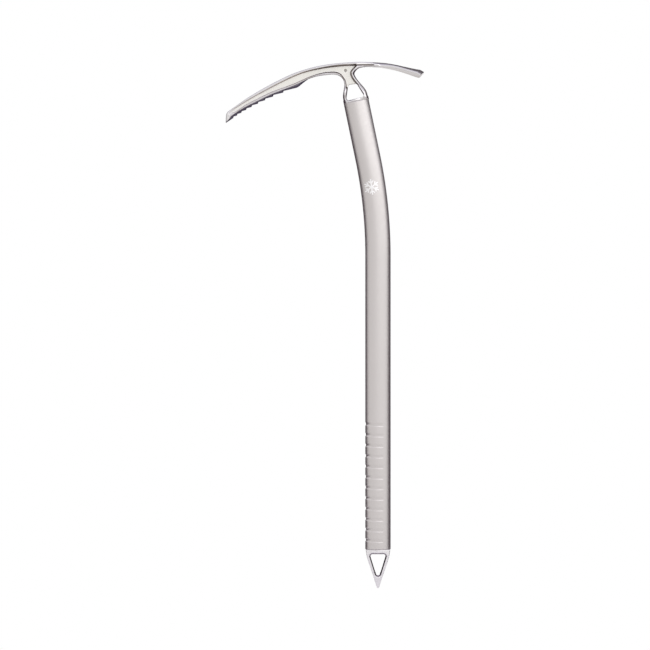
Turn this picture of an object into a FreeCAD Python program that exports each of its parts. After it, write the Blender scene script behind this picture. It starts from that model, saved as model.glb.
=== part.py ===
"""Parametric model of a classic 60 cm ice axe: cast head, bent oval tube, cast spike.

Frame, in millimetres: +Z runs up the straight lower shaft, +X points to the adze side (the pick
is on -X), Y is the depth, and the origin is the point of the spike.
"""
import FreeCAD, Part
import math
import os
import Sketcher

VECTOR = FreeCAD.Vector

# alias, value in millimetres or degrees, what it is
DIMENSIONS = [
    ("shaft_width", 28.9, "tube section across X, outside"),
    ("shaft_depth", 19.6, "tube section across Y, outside"),
    ("shaft_wall", 2.0, "tube wall"),
    ("shaft_foot", 44.0, "height of the tube's lower end"),
    ("lower_straight", 335.0, "straight run below the bend"),
    ("bend_radius", 550.0, "bend radius on the tube's axis"),
    ("bend_angle", 11.75, "how far the bend turns towards the pick, degrees"),
    ("upper_straight", 65.4, "straight run above the bend"),
    ("groove_count", 12, "grip grooves"),
    ("groove_pitch", 12.0, "distance between grooves"),
    ("lowest_groove", 55.2, "height of the lowest groove"),
    ("groove_depth", 0.8, "depth of a groove"),
    ("groove_cutter", 2.9, "radius of the round cutter that makes a groove"),
    ("groove_end", 5.2, "X where a groove runs out on each flank"),
    ("head_width", 14.0, "flanges of the head across Y, at the neck"),
    ("pick_tip_width", 5.0, "pick across Y at its tip"),
    ("web_thickness", 4.0, "web between the flanges"),
    ("blade_thickness", 3.4, "toothed edge across Y"),
    ("collar_thickness", 3.4, "plate of the head that sits on the tube"),
    ("tang_length", 45.0, "tang inside the tube"),
    ("core_web", 4.0, "web left in the middle of the tang and the plug"),
    ("core_margin", 4.0, "solid border around the pockets in the tang and the plug"),
    ("bond_gap", 0.25, "adhesive film thickness"),
    ("spike_width", 27.8, "shoulder of the spike across X"),
    ("spike_depth", 18.4, "shoulder of the spike across Y"),
    ("plug_length", 32.0, "plug inside the tube"),
    ("foam_length", 10.0, "each foam plug along the tube"),
]

# Head outlines as X, Z. Smooth stretches are splines through the listed points.
SPINE = [(4, 599.4), (-20, 600.2), (-61, 596.9), (-102, 584.1), (-143, 562.9), (-171.2, 543.4)]
PICK_FRONT = [(-171.2, 543.4), (-173.1, 540.2), (-173.6, 531)]
BELLY = [(-173.6, 531), (-151.9, 547.4), (-121, 563.4), (-93.4, 574.4), (-78.1, 581.1),
         (-66, 584.3), (-46.5, 585.4), (-40.4, 581.4), (-38.4, 574.8), (-39.9, 560.7), (-38.7, 553.6)]
THROAT = [(-10.4, 559.5), (-13.6, 567.5), (-24.4, 581.3), (-26.8, 586.9), (-22.5, 592.8),
          (-14.6, 594.7), (4, 594.6)]
RECESS_TOP = [(-168, 541.2), (-143, 558.8), (-102, 580.2), (-61, 593.2), (-40, 595.9), (-25.6, 596.2)]
RECESS_NECK = [(-25.6, 596.2), (-31.6, 588), (-29.9, 581.8), (-23.6, 573.4)]
RECESS_BELLY = [(-35.4, 571), (-37.2, 579.2), (-44.3, 587.4), (-60.5, 588.6), (-77, 584.6),
                (-98, 576.4), (-121, 567.2), (-151, 552.2), (-168, 540.2)]
TOOTH_LINE = [(-173.6, 530.4), (-150.3, 545.3), (-119.7, 560.6), (-92.8, 571.2)]
TOOTH_TIPS_X = [-165.1, -160.8, -155.8, -150.3, -144.1, -136.9, -128.8, -119.7, -108.1]
BLADE_HEEL = [(-92.8, 571.2), (-91, 572.2), (-85, 577), (-79, 580.8)]
TOOTH_DEPTH = 1.5
TOOTH_FACE_RUN = 0.5
BLADE_ROOT = [(-79, 580.8), (-93.4, 576), (-121, 565), (-151.9, 549.2), (-171.8, 536)]

# Where the pick starts to narrow in plan, and how the flanks flare from the neck to the collar:
# height, and how far beyond the neck's half width
TAPER_START_X = -41.5
FLARE_TOP = (576, 0.0)
FLARE_MIDDLE = (567, 0.7)
FLARE_FOOT_Z = 557
TRIM_TOP_Z = 610
TRIM_CLEARANCE = 2

# corner X, Z and rounding radius
EYE_CORNERS = [(-36.4, 555.5, 2.6), (-14.2, 560.1, 3.2), (-24.2, 575.3, 2.0), (-33.8, 573.9, 2.2)]
SPIKE_HOLE_CORNERS = [(-9.4, 38.9, 2.4), (0, 8.6, 2.4), (9.4, 38.9, 2.4)]

# height, width across X, depth across Y of the spike below its shoulder
SPIKE_SECTIONS = [(36, 25.2, 15.6), (20, 15.0, 9.6), (0, 2.42, 2.4)]

# X, crown Z, half width, sagitta, thickness at the crown
ADZE_SECTIONS = [(-8, 600.1, 7.0, 0.4, 5.0), (8, 599.0, 8.4, 0.9, 4.1), (21, 596.8, 13.2, 2.2, 3.5),
                 (34, 593.8, 19.0, 4.5, 3.0), (46, 591.4, 23.5, 6.5, 2.8)]
ADZE_BEVEL_END = (55, 589.3, 24.5, 6.9, 0.7)
ADZE_EDGE_X = 52.5
ADZE_EDGE_RADIUS = 62.0

# Tube sections as expressions: outside skin, bore, and what fits the bore inside the adhesive film
OUTER_WIDTH = "dims.shaft_width"
OUTER_DEPTH = "dims.shaft_depth"
INNER_WIDTH = "dims.shaft_width - 2 * dims.shaft_wall"
INNER_DEPTH = "dims.shaft_depth - 2 * dims.shaft_wall"
CORE_WIDTH = "dims.shaft_width - 2 * (dims.shaft_wall + dims.bond_gap)"
CORE_DEPTH = "dims.shaft_depth - 2 * (dims.shaft_wall + dims.bond_gap)"


def add_dimension_sheet(doc):
    sheet = doc.addObject("Spreadsheet::Sheet", "dims")
    for row, (alias, value, meaning) in enumerate(DIMENSIONS, start=1):
        sheet.set(f"A{row}", meaning)
        sheet.set(f"B{row}", str(value))
        sheet.setAlias(f"B{row}", alias)
    doc.recompute()


def new_body(doc, name):
    body = doc.addObject("PartDesign::Body", name)
    body.Label = name
    return body


def origin_feature(body, role):
    return next(feature for feature in body.Origin.OriginFeatures if feature.Role == role)


def new_sketch(body, plane, name, offsets=None):
    """Sketch on one of the body's origin planes; offsets are expressions for its AttachmentOffset."""
    sketch = body.newObject("Sketcher::SketchObject", name)
    sketch.AttachmentSupport = [(origin_feature(body, plane), "")]
    sketch.MapMode = "FlatFace"
    for prop, expression in (offsets or {}).items():
        sketch.setExpression(f"AttachmentOffset.{prop}", expression)
    return sketch


def bind(sketch, constraint, name, expression):
    index = sketch.addConstraint(constraint)
    sketch.renameConstraint(index, name)
    sketch.setExpression(f"Constraints.{name}", expression)


def draw_ellipse(sketch, width, depth, name):
    """Ellipse about the sketch's origin, its axes bound to the two expressions."""
    first = sketch.GeometryCount
    sketch.addGeometry(Part.Ellipse(VECTOR(14, 0, 0), VECTOR(0, 9, 0), VECTOR(0, 0, 0)), False)
    sketch.exposeInternalGeometry(first)
    sketch.addConstraint(Sketcher.Constraint("Coincident", first, 3, -1, 1))
    sketch.addConstraint(Sketcher.Constraint("Horizontal", first + 1))
    bind(sketch, Sketcher.Constraint("Distance", first + 1, 28), f"{name}_width", width)
    bind(sketch, Sketcher.Constraint("Distance", first + 2, 18), f"{name}_depth", depth)


def spline(points):
    curve = Part.BSplineCurve()
    curve.interpolate([VECTOR(x, z, 0) for x, z in points])
    return curve


def segment(start, end):
    return Part.LineSegment(VECTOR(*start, 0), VECTOR(*end, 0))


def rounded_outline(corners):
    """Closed outline of lines and tangent arcs from (x, y, radius) corners."""
    starts = []
    ends = []
    arcs = []
    for index, (x, y, radius) in enumerate(corners):
        here = VECTOR(x, y, 0)
        before = (VECTOR(*corners[index - 1][:2], 0) - here).normalize()
        after = (VECTOR(*corners[(index + 1) % len(corners)][:2], 0) - here).normalize()
        half_angle = before.getAngle(after) / 2
        reach = radius / math.tan(half_angle)
        middle = here + (before + after).normalize() * (radius / math.sin(half_angle) - radius)
        starts.append(here + before * reach)
        ends.append(here + after * reach)
        arcs.append(Part.Arc(starts[-1], middle, ends[-1]))
    lines = [Part.LineSegment(ends[i - 1], starts[i]) for i in range(len(corners))]
    return lines + arcs


def upper_axis(distance):
    """Expressions for a plane square to the tilted upper tube, `distance` below the tube's top."""
    run = f"(dims.upper_straight - ({distance}))"
    return {
        "Base.x": "(0 - dims.bend_radius * (1 - cos(dims.bend_angle))"
                  f" - {run} * sin(dims.bend_angle)) * 1 mm",
        "Base.z": "(dims.shaft_foot + dims.lower_straight + dims.bend_radius * sin(dims.bend_angle)"
                  f" + {run} * cos(dims.bend_angle)) * 1 mm",
        "Rotation.Axis.x": "0",
        "Rotation.Axis.y": "-1",
        "Rotation.Axis.z": "0",
        "Rotation.Angle": "dims.bend_angle",
    }


def add_pad(body, sketch, name, length, midplane=False, backwards=False):
    pad = body.newObject("PartDesign::Pad", name)
    pad.Profile = sketch
    pad.setExpression("Length", length)
    pad.Midplane = midplane
    pad.Reversed = backwards
    body.Document.recompute()
    return pad


def add_cut(body, sketch, name, midplane=False, backwards=False):
    """Pocket right through the body; raises if it removes nothing."""
    before = body.Shape.Volume
    pocket = body.newObject("PartDesign::Pocket", name)
    pocket.Profile = sketch
    pocket.Type = "ThroughAll"
    pocket.Midplane = midplane
    pocket.Reversed = backwards
    body.Document.recompute()
    if pocket.Shape.Volume >= before - 1:
        raise RuntimeError(f"{name} cuts nothing")
    return pocket


def add_mirror(body, feature, plane, name):
    mirror = body.newObject("PartDesign::Mirrored", name)
    mirror.Originals = [feature]
    mirror.MirrorPlane = (origin_feature(body, plane), [""])
    body.Tip = mirror
    body.Document.recompute()
    return mirror


def read(doc, alias):
    return float(doc.dims.get(alias))


def build_shaft(doc):
    """Bent oval tube with its grip grooves."""
    body = new_body(doc, "shaft")
    foot = read(doc, "shaft_foot")
    bend = foot + read(doc, "lower_straight")
    radius = read(doc, "bend_radius")
    turn = math.radians(read(doc, "bend_angle"))
    upper = read(doc, "upper_straight")
    centre = VECTOR(-radius, bend, 0)
    bend_end = centre + VECTOR(math.cos(turn), math.sin(turn), 0) * radius
    top = bend_end + VECTOR(-math.sin(turn), math.cos(turn), 0) * upper
    path = new_sketch(body, "XZ_Plane", "shaft_path")
    path.addGeometry(Part.LineSegment(VECTOR(0, foot, 0), VECTOR(0, bend, 0)), False)
    bend_circle = Part.Circle(centre, VECTOR(0, 0, 1), radius)
    path.addGeometry(Part.ArcOfCircle(bend_circle, 0, turn), False)
    path.addGeometry(Part.LineSegment(bend_end, top), False)
    path.addConstraint(Sketcher.Constraint("PointOnObject", 0, 1, -2))
    path.addConstraint(Sketcher.Constraint("Vertical", 0))
    path.addConstraint(Sketcher.Constraint("Tangent", 0, 2, 1, 1))
    path.addConstraint(Sketcher.Constraint("Tangent", 1, 2, 2, 1))
    bind(path, Sketcher.Constraint("DistanceY", -1, 1, 0, 1, foot), "foot", "dims.shaft_foot")
    bind(path, Sketcher.Constraint("Distance", 0, bend - foot), "lower_run", "dims.lower_straight")
    bind(path, Sketcher.Constraint("Radius", 1, radius), "bend_radius", "dims.bend_radius")
    bind(path, Sketcher.Constraint("Distance", 2, upper), "upper_run", "dims.upper_straight")
    bind(path, Sketcher.Constraint("Angle", 0, 1, 2, 1, turn), "bend_angle", "dims.bend_angle * 1 deg")
    section = new_sketch(body, "XY_Plane", "shaft_section", {"Base.z": "dims.shaft_foot * 1 mm"})
    draw_ellipse(section, OUTER_WIDTH, OUTER_DEPTH, "outer")
    draw_ellipse(section, INNER_WIDTH, INNER_DEPTH, "inner")
    tube = body.newObject("PartDesign::AdditivePipe", "bent_tube")
    tube.Profile = section
    tube.Spine = (path, ["Edge1", "Edge2", "Edge3"])
    doc.recompute()
    cut_grooves(body)
    return body


def cut_grooves(body):
    """Round-bottomed grooves across the front edge of the tube, stopping part way over each flank."""
    doc = body.Document
    cutter = read(doc, "groove_cutter")
    clearance = cutter - read(doc, "groove_depth")
    major = read(doc, "shaft_width") / 2 + clearance
    minor = read(doc, "shaft_depth") / 2 + clearance
    end_x = read(doc, "groove_end")
    start = math.acos(end_x / major)
    path = new_sketch(body, "XY_Plane", "groove_path", {"Base.z": "dims.lowest_groove * 1 mm"})
    ring = Part.Ellipse(VECTOR(major, 0, 0), VECTOR(0, minor, 0), VECTOR(0, 0, 0))
    path.addGeometry(Part.ArcOfEllipse(ring, start, 2 * math.pi - start), False)
    profile = new_sketch(body, "YZ_Plane", "groove_profile", {"Base.z": "dims.groove_end * 1 mm"})
    centre = VECTOR(minor * math.sin(start), read(doc, "lowest_groove"), 0)
    profile.addGeometry(Part.Circle(centre, VECTOR(0, 0, 1), cutter), False)
    bind(profile, Sketcher.Constraint("Radius", 0, cutter), "cutter", "dims.groove_cutter")
    bind(profile, Sketcher.Constraint("DistanceY", -1, 1, 0, 3, centre.y), "height", "dims.lowest_groove")
    groove = body.newObject("PartDesign::SubtractivePipe", "groove")
    groove.Profile = profile
    groove.Spine = (path, ["Edge1"])
    doc.recompute()
    pattern = body.newObject("PartDesign::LinearPattern", "grooves")
    pattern.Originals = [groove]
    pattern.Direction = (origin_feature(body, "Z_Axis"), [""])
    pattern.setExpression("Length", "dims.groove_pitch * (dims.groove_count - 1)")
    pattern.setExpression("Occurrences", "dims.groove_count")
    body.Tip = pattern
    doc.recompute()


def build_head(doc):
    """One casting: pick, adze, neck with the carabiner eye, collar and tang."""
    body = new_body(doc, "head")
    add_head_block(body)
    trim_head_sides(body)
    cut_recess(body)
    add_blade(body)
    add_adze(body)
    add_collar_and_tang(body)
    eye = new_sketch(body, "XZ_Plane", "eye_outline")
    eye.addGeometry(rounded_outline(EYE_CORNERS), False)
    add_cut(body, eye, "eye", midplane=True)
    return body


def add_head_block(body):
    profile = new_sketch(body, "XZ_Plane", "side_profile")
    profile.addGeometry([
        spline(SPINE),
        segment(PICK_FRONT[0], PICK_FRONT[1]),
        segment(PICK_FRONT[1], PICK_FRONT[2]),
        spline(BELLY),
        segment(BELLY[-1], THROAT[0]),
        spline(THROAT),
        segment(THROAT[-1], SPINE[0]),
    ], False)
    add_pad(body, profile, "head_block", "dims.shaft_depth", midplane=True)


def trim_head_sides(body):
    """Narrows the block: thin towards the pick's tip, and waisted above the collar."""
    half = read(body.Document, "head_width") / 2
    tip_half = read(body.Document, "pick_tip_width") / 2
    collar_half = read(body.Document, "shaft_depth") / 2
    outside = collar_half + TRIM_CLEARANCE
    nose_x = PICK_FRONT[-1][0] - TRIM_CLEARANCE
    plan = new_sketch(body, "XY_Plane", "plan_trim")
    front = new_sketch(body, "YZ_Plane", "front_trim")
    for side in (1, -1):
        corners = [(TAPER_START_X, half), (nose_x, tip_half), (nose_x, outside), (TAPER_START_X, outside)]
        corners = [(x, side * y) for x, y in corners]
        plan.addGeometry([segment(corners[i - 1], corners[i]) for i in range(4)], False)
        flare = [(side * (half + beyond), z) for z, beyond in (FLARE_TOP, FLARE_MIDDLE)]
        flare.append((side * collar_half, FLARE_FOOT_Z))
        corners = [flare[-1], (side * outside, FLARE_FOOT_Z), (side * outside, TRIM_TOP_Z),
                   (side * half, TRIM_TOP_Z), flare[0]]
        front.addGeometry([segment(corners[i], corners[i + 1]) for i in range(4)], False)
        front.addGeometry(spline(flare), False)
    add_cut(body, plan, "pick_taper", midplane=True)
    add_cut(body, front, "neck_waist", midplane=True)


def cut_recess(body):
    """Hollows both flanks down to the web, leaving a flange all round."""
    outline = new_sketch(body, "XZ_Plane", "recess_outline", {"Base.z": "dims.web_thickness / 2 * 1 mm"})
    outline.addGeometry([
        spline(RECESS_TOP),
        spline(RECESS_NECK),
        segment(RECESS_NECK[-1], RECESS_BELLY[0]),
        spline(RECESS_BELLY),
        segment(RECESS_BELLY[-1], RECESS_TOP[0]),
    ], False)
    recess = add_cut(body, outline, "recess", backwards=True)
    add_mirror(body, recess, "XZ_Plane", "recess_other_side")


def tooth_outline():
    """Straight-sided teeth: a long edge towards the tip, a short steep face towards the shaft."""
    line = spline(TOOTH_LINE)
    edge = []
    for tip_x in TOOTH_TIPS_X:
        on_line = line.value(line.parameter(VECTOR(tip_x, height_on(TOOTH_LINE, tip_x), 0)))
        edge.append((on_line.x, on_line.y))
        edge.append((on_line.x + TOOTH_FACE_RUN, on_line.y + TOOTH_DEPTH))
    return edge


def height_on(points, x):
    """Height of the polyline through the points at x."""
    for (x0, z0), (x1, z1) in zip(points, points[1:]):
        if x0 <= x <= x1:
            return z0 + (z1 - z0) * (x - x0) / (x1 - x0)
    return points[-1][1]


def add_blade(body):
    blade = new_sketch(body, "XZ_Plane", "blade_outline")
    lower = [TOOTH_LINE[0]] + tooth_outline() + [BLADE_HEEL[0]]
    blade.addGeometry([segment(lower[i], lower[i + 1]) for i in range(len(lower) - 1)], False)
    blade.addGeometry(spline(BLADE_HEEL), False)
    blade.addGeometry(spline(BLADE_ROOT), False)
    blade.addGeometry(segment(BLADE_ROOT[-1], TOOTH_LINE[0]), False)
    add_pad(body, blade, "toothed_blade", "dims.blade_thickness", midplane=True)


def adze_section(body, station, name):
    x, crown, half, sagitta, thickness = station
    sketch = new_sketch(body, "YZ_Plane", name, {"Base.z": f"{x} mm"})
    wing = crown - sagitta
    top = [VECTOR(-half, wing, 0), VECTOR(0, crown, 0), VECTOR(half, wing, 0)]
    bottom = [point - VECTOR(0, thickness, 0) for point in top]
    sketch.addGeometry([
        Part.Arc(*top),
        Part.LineSegment(top[2], bottom[2]),
        Part.Arc(bottom[2], bottom[1], bottom[0]),
        Part.LineSegment(bottom[0], top[0]),
    ], False)
    return sketch


def add_adze(body):
    """Cupped blade, concave side down, ground to a bowed edge."""
    sections = [adze_section(body, station, f"adze_section_{number}")
                for number, station in enumerate(ADZE_SECTIONS, start=1)]
    bevel_end = adze_section(body, ADZE_BEVEL_END, "adze_bevel_end")
    for name, profiles, ruled in (("adze", sections, False), ("adze_bevel", [sections[-1], bevel_end], True)):
        loft = body.newObject("PartDesign::AdditiveLoft", name)
        loft.Profile = profiles[0]
        loft.Sections = profiles[1:]
        loft.Ruled = ruled
        body.Document.recompute()
    edge = new_sketch(body, "XY_Plane", "adze_edge")
    reach = 30.0
    centre_x = ADZE_EDGE_X - ADZE_EDGE_RADIUS
    corner_x = centre_x + math.sqrt(ADZE_EDGE_RADIUS ** 2 - reach ** 2)
    far_x = ADZE_EDGE_X + 8
    edge.addGeometry(Part.Arc(VECTOR(corner_x, -reach, 0), VECTOR(ADZE_EDGE_X, 0, 0),
                              VECTOR(corner_x, reach, 0)), False)
    corners = [(corner_x, reach), (far_x, reach), (far_x, -reach), (corner_x, -reach)]
    edge.addGeometry([segment(corners[i], corners[i + 1]) for i in range(3)], False)
    add_cut(body, edge, "adze_edge_trim", midplane=True)


def add_collar_and_tang(body):
    collar = new_sketch(body, "XY_Plane", "collar_section", upper_axis("0"))
    draw_ellipse(collar, OUTER_WIDTH, OUTER_DEPTH, "collar")
    add_pad(body, collar, "collar", "dims.collar_thickness")
    tang = new_sketch(body, "XY_Plane", "tang_section", upper_axis("0"))
    draw_ellipse(tang, CORE_WIDTH, CORE_DEPTH, "tang")
    add_pad(body, tang, "tang", "dims.tang_length", backwards=True)
    tilt = math.radians(read(body.Document, "bend_angle"))
    hollow_core(body, "tang", "tang_length", tube_top(body.Document), tilt, -1)


def hollow_core(body, name, length_alias, tube_end, tilt, direction):
    """Pockets both flanks of a tang or plug, leaving its web and a border.

    tube_end is the X and Z of the tube's end, tilt is the tube's lean there in radians, and
    direction is 1 where the core runs up into the tube and -1 where it runs down.
    """
    doc = body.Document
    margin = read(doc, "core_margin")
    half = read(doc, "shaft_width") / 2 - read(doc, "shaft_wall") - margin
    near = direction * margin
    far = direction * (read(doc, length_alias) - margin)
    corners = [(-half, near), (half, near), (half, far), (-half, far)]
    end_x, end_z = tube_end
    placed = [(end_x + across * math.cos(tilt) - up * math.sin(tilt),
               end_z + across * math.sin(tilt) + up * math.cos(tilt)) for across, up in corners]
    sketch = new_sketch(body, "XZ_Plane", f"{name}_pocket_outline", {"Base.z": "dims.core_web / 2 * 1 mm"})
    sketch.addGeometry([segment(placed[i - 1], placed[i]) for i in range(4)], False)
    pocket = add_cut(body, sketch, f"{name}_pocket", backwards=True)
    add_mirror(body, pocket, "XZ_Plane", f"{name}_pocket_other_side")


def tube_top(doc):
    """X and Z of the centre of the tube's top end."""
    radius = read(doc, "bend_radius")
    turn = math.radians(read(doc, "bend_angle"))
    upper = read(doc, "upper_straight")
    x = -radius * (1 - math.cos(turn)) - upper * math.sin(turn)
    z = read(doc, "shaft_foot") + read(doc, "lower_straight") + radius * math.sin(turn)
    return x, z + upper * math.cos(turn)


def build_spike(doc):
    """Cast ferrule: tapered triangle with a tether hole, and a plug inside the tube."""
    body = new_body(doc, "spike")
    shoulder = new_sketch(body, "XY_Plane", "spike_shoulder", {"Base.z": "dims.shaft_foot * 1 mm"})
    draw_ellipse(shoulder, "dims.spike_width", "dims.spike_depth", "shoulder")
    sections = []
    for height, width, depth in SPIKE_SECTIONS:
        section = new_sketch(body, "XY_Plane", f"spike_section_{height}", {"Base.z": f"{height} mm"})
        draw_ellipse(section, str(width), str(depth), "section")
        sections.append(section)
    loft = body.newObject("PartDesign::AdditiveLoft", "spike_taper")
    loft.Profile = shoulder
    loft.Sections = sections
    doc.recompute()
    plug = new_sketch(body, "XY_Plane", "plug_section", {"Base.z": "dims.shaft_foot * 1 mm"})
    draw_ellipse(plug, CORE_WIDTH, CORE_DEPTH, "plug")
    add_pad(body, plug, "plug", "dims.plug_length")
    hollow_core(body, "plug", "plug_length", (0.0, read(doc, "shaft_foot")), 0.0, 1)
    hole = new_sketch(body, "XZ_Plane", "tether_hole_outline")
    hole.addGeometry(rounded_outline(SPIKE_HOLE_CORNERS), False)
    add_cut(body, hole, "tether_hole", midplane=True)
    return body


def build_filler(doc, name, offsets, length, backwards, hollow):
    """Pad filling the tube's bore: an adhesive film when hollow, otherwise a foam plug."""
    body = new_body(doc, name)
    section = new_sketch(body, "XY_Plane", f"{name}_section", offsets)
    draw_ellipse(section, INNER_WIDTH, INNER_DEPTH, "outside")
    if hollow:
        draw_ellipse(section, CORE_WIDTH, CORE_DEPTH, "inside")
    add_pad(body, section, f"{name}_pad", length, backwards=backwards)
    return body


def build_axe():
    doc = FreeCAD.newDocument("ice_axe")
    add_dimension_sheet(doc)
    foot = {"Base.z": "dims.shaft_foot * 1 mm"}
    above_plug = {"Base.z": "(dims.shaft_foot + dims.plug_length) * 1 mm"}
    bodies = [
        build_head(doc),
        build_shaft(doc),
        build_spike(doc),
        build_filler(doc, "head_bond", upper_axis("0"), "dims.tang_length", True, True),
        build_filler(doc, "spike_bond", foot, "dims.plug_length", False, True),
        build_filler(doc, "upper_foam_plug", upper_axis("dims.tang_length"), "dims.foam_length", True, False),
        build_filler(doc, "lower_foam_plug", above_plug, "dims.foam_length", False, False),
    ]
    doc.recompute()
    return doc, bodies


def check(doc, bodies):
    for item in doc.Objects:
        if "Invalid" in item.State or "Error" in item.State:
            raise RuntimeError(f"{item.Name} failed: {item.getStatusString()}")
    for body in bodies:
        if body.Shape.isNull() or not body.Shape.isValid():
            raise RuntimeError(f"{body.Label} has no valid shape")


def export(bodies):
    os.makedirs("parts", exist_ok=True)
    for body in bodies:
        body.Shape.exportStep(f"parts/{body.Label}.step")
        print(f"{body.Label}: {body.Shape.Volume:.0f} mm3, {len(body.Shape.Solids)} solid")


axe_document, axe_bodies = build_axe()
check(axe_document, axe_bodies)
export(axe_bodies)
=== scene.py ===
import itertools
import math
import bpy
import mathutils
import numpy as np
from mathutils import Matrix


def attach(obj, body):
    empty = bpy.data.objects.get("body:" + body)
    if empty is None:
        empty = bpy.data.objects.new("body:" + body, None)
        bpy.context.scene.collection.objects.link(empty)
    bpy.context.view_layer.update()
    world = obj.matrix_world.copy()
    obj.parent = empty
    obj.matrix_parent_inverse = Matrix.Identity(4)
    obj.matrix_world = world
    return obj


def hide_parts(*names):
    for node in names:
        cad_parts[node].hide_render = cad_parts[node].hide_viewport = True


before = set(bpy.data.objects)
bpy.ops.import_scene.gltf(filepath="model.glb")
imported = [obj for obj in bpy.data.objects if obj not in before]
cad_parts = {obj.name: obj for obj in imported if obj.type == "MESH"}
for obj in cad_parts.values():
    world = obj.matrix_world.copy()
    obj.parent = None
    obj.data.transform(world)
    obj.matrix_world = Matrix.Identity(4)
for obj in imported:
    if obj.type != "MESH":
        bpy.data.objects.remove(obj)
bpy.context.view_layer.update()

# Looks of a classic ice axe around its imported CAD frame.
#
# The head, the spike and the printed crystal are meshed from distance fields (negative inside), so
# that cast edges are truly round. The shaft is a swept grid with the grip grooves in the mesh.
# Shapes are worked out in millimetres in the frame's own axes (+Z up the lower shaft, +X to the
# adze, origin at the spike's point) and turned into metres when a mesh is made.

MM = 0.001

# Tube section and axis, as in the frame
SHAFT_HALF_WIDTH = 14.45
SHAFT_HALF_DEPTH = 9.8
SHAFT_WALL = 2.0
SHAFT_FOOT = 44.0
LOWER_STRAIGHT = 335.0
BEND_RADIUS = 550.0
BEND_ANGLE = math.radians(11.75)
UPPER_STRAIGHT = 65.4
BOND_GAP = 0.25
TANG_LENGTH = 45.0
PLUG_LENGTH = 32.0
CORE_WEB_HALF = 2.0
CORE_MARGIN = 4.0

# Grip grooves
GROOVE_COUNT = 12
GROOVE_PITCH = 12.0
LOWEST_GROOVE = 55.2
GROOVE_DEPTH = 0.8
GROOVE_CUTTER = 2.9
GROOVE_END_X = 5.2
GROOVE_HALF = 1.95
GROOVE_LIP = -2.9
FLANK_DEPTH = 0.19

# Head outlines as X, Z; smooth stretches run through the listed points
SPINE = [(0, 597.2), (-9, 598.9), (-20, 599.8), (-61, 596.4), (-84, 591.0), (-102, 584.4), (-143, 562.7),
         (-171.2, 543.4)]
PICK_FRONT = [(-171.2, 543.4), (-172.6, 541.6), (-173.2, 539.4), (-173.6, 531)]
BELLY = [(-173.6, 531), (-170.4, 533.4), (-167.6, 537.4), (-162.7, 541.2), (-151.9, 548.0),
         (-136.3, 555.9), (-121, 563.2), (-93.4, 574.0), (-78.1, 581.3),
         (-66, 584.6), (-46.5, 585.4), (-40.4, 581.4), (-38.4, 574.8), (-39.9, 560.7), (-38.7, 553.6)]
THROAT = [(-10.7, 557.3), (-11.6, 561.2), (-13.6, 567.5), (-24.4, 581.3), (-26.8, 586.9), (-22.5, 592.8),
          (-14.6, 594.7), (-4, 595.2), (0, 596)]
RECESS_TOP = [(-169, 541.2), (-166.5, 544.2), (-162.7, 547.2), (-143, 559.2), (-102, 580.6),
              (-84, 587.9), (-61, 593.0), (-40, 595.3), (-25.6, 595.9)]
RECESS_NECK = [(-25.6, 595.9), (-31.6, 588), (-29.9, 581.8), (-23.6, 573.4)]
RECESS_BELLY = [(-35.4, 571), (-37.2, 579.2), (-44.3, 587.4), (-60.5, 587.9), (-77, 583.3),
                (-86, 579.4), (-98, 574.2), (-121, 565.7), (-136.3, 558.5), (-151, 550.8), (-162, 543.6),
                (-169, 540.4)]
TOOTH_LINE = [(-173.6, 530.4), (-150.3, 545.3), (-119.7, 560.5), (-92.8, 570.6)]
TOOTH_TIPS_X = [-165.1, -160.8, -155.8, -150.3, -144.1, -136.9, -128.8, -119.7, -108.1]
BLADE_HEEL = [(-92.8, 570.6), (-91, 571.5), (-85, 576.3), (-79, 580.8)]
BLADE_ROOT = [(-79, 580.8), (-93.4, 576), (-121, 565), (-151.9, 549.2), (-171.8, 536)]
TOOTH_DEPTH = 1.9
TOOTH_FACE_RUN = 0.5
EYE_CORNERS = [(-36.4, 555.5, 2.6), (-14.2, 560.1, 3.2), (-24.2, 575.3, 2.0), (-33.8, 573.9, 2.2)]

# Head thicknesses across Y
FLANGE_HALF = 7.0
PICK_TIP_HALF = 2.5
PICK_TIP_X = -173
TAPER_LENGTH = 132
WEB_HALF = 2.0
WEB_THINNING = 0.8
TOOTH_EDGE_HALF = 0.45
COLLAR_THICKNESS = 3.4

# Dimple in the web, cut by a ball: its X and Z, radius, and how far its centre is off the web
DIMPLE = (-37.1, 590.3)
DIMPLE_RADIUS = 1.8
DIMPLE_STAND_OFF = 0.7

# Crease under the crown: its two ends, radius, and how far its middle is off the flank
CREASE = ((-25, 596.0), (-5, 596.3))
CREASE_RADIUS = 0.8
CREASE_STAND_OFF = 0.2

# Stretches over which the head changes smoothly, along X or -X, up Z, or up from the tube's end
NECK_X = (-62, -44)
NECK_Z = (584, 594)
NECK_RIGHT_X = (-33, -29)
FLARE_X = (-60, -45)
FLARE_UP = (2, 24)
DRAFT_X = (-75, -40)
WEB_THINS_MINUS_X = (95, 165)
SEAM_X = (-12, 0)
CREASE_FADES_X = (-10, -4)
FREE_OF_TUBE_UP = (3, 30)
FREE_OF_TUBE_X = (-20, 0)
FREE_OF_TUBE_MINUS_X = (44, 70)

# Adze stations: X, crown Z, half width, sagitta, thickness
ADZE = [(-22, 599.8, 6.7, 0.3, 4.4), (-8, 599.8, 6.8, 0.5, 4.6), (8, 598.8, 8.4, 1.5, 4.4),
        (21, 596.6, 13.2, 2.5, 3.3), (34, 593.7, 19.0, 3.8, 2.6), (46, 591.3, 23.5, 5.0, 2.7),
        (55, 590.3, 24.5, 5.4, 2.6)]
ADZE_EDGE_X = 52.5
ADZE_EDGE_RADIUS = 62.0
ADZE_EDGE_THICKNESS = 0.6
ADZE_BEVEL_SLOPE = 0.5
ADZE_START_X = -16
ADZE_ROOT_IN_X = (-9, -2)
ADZE_ROOT_OUT_X = (2, 20)

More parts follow.
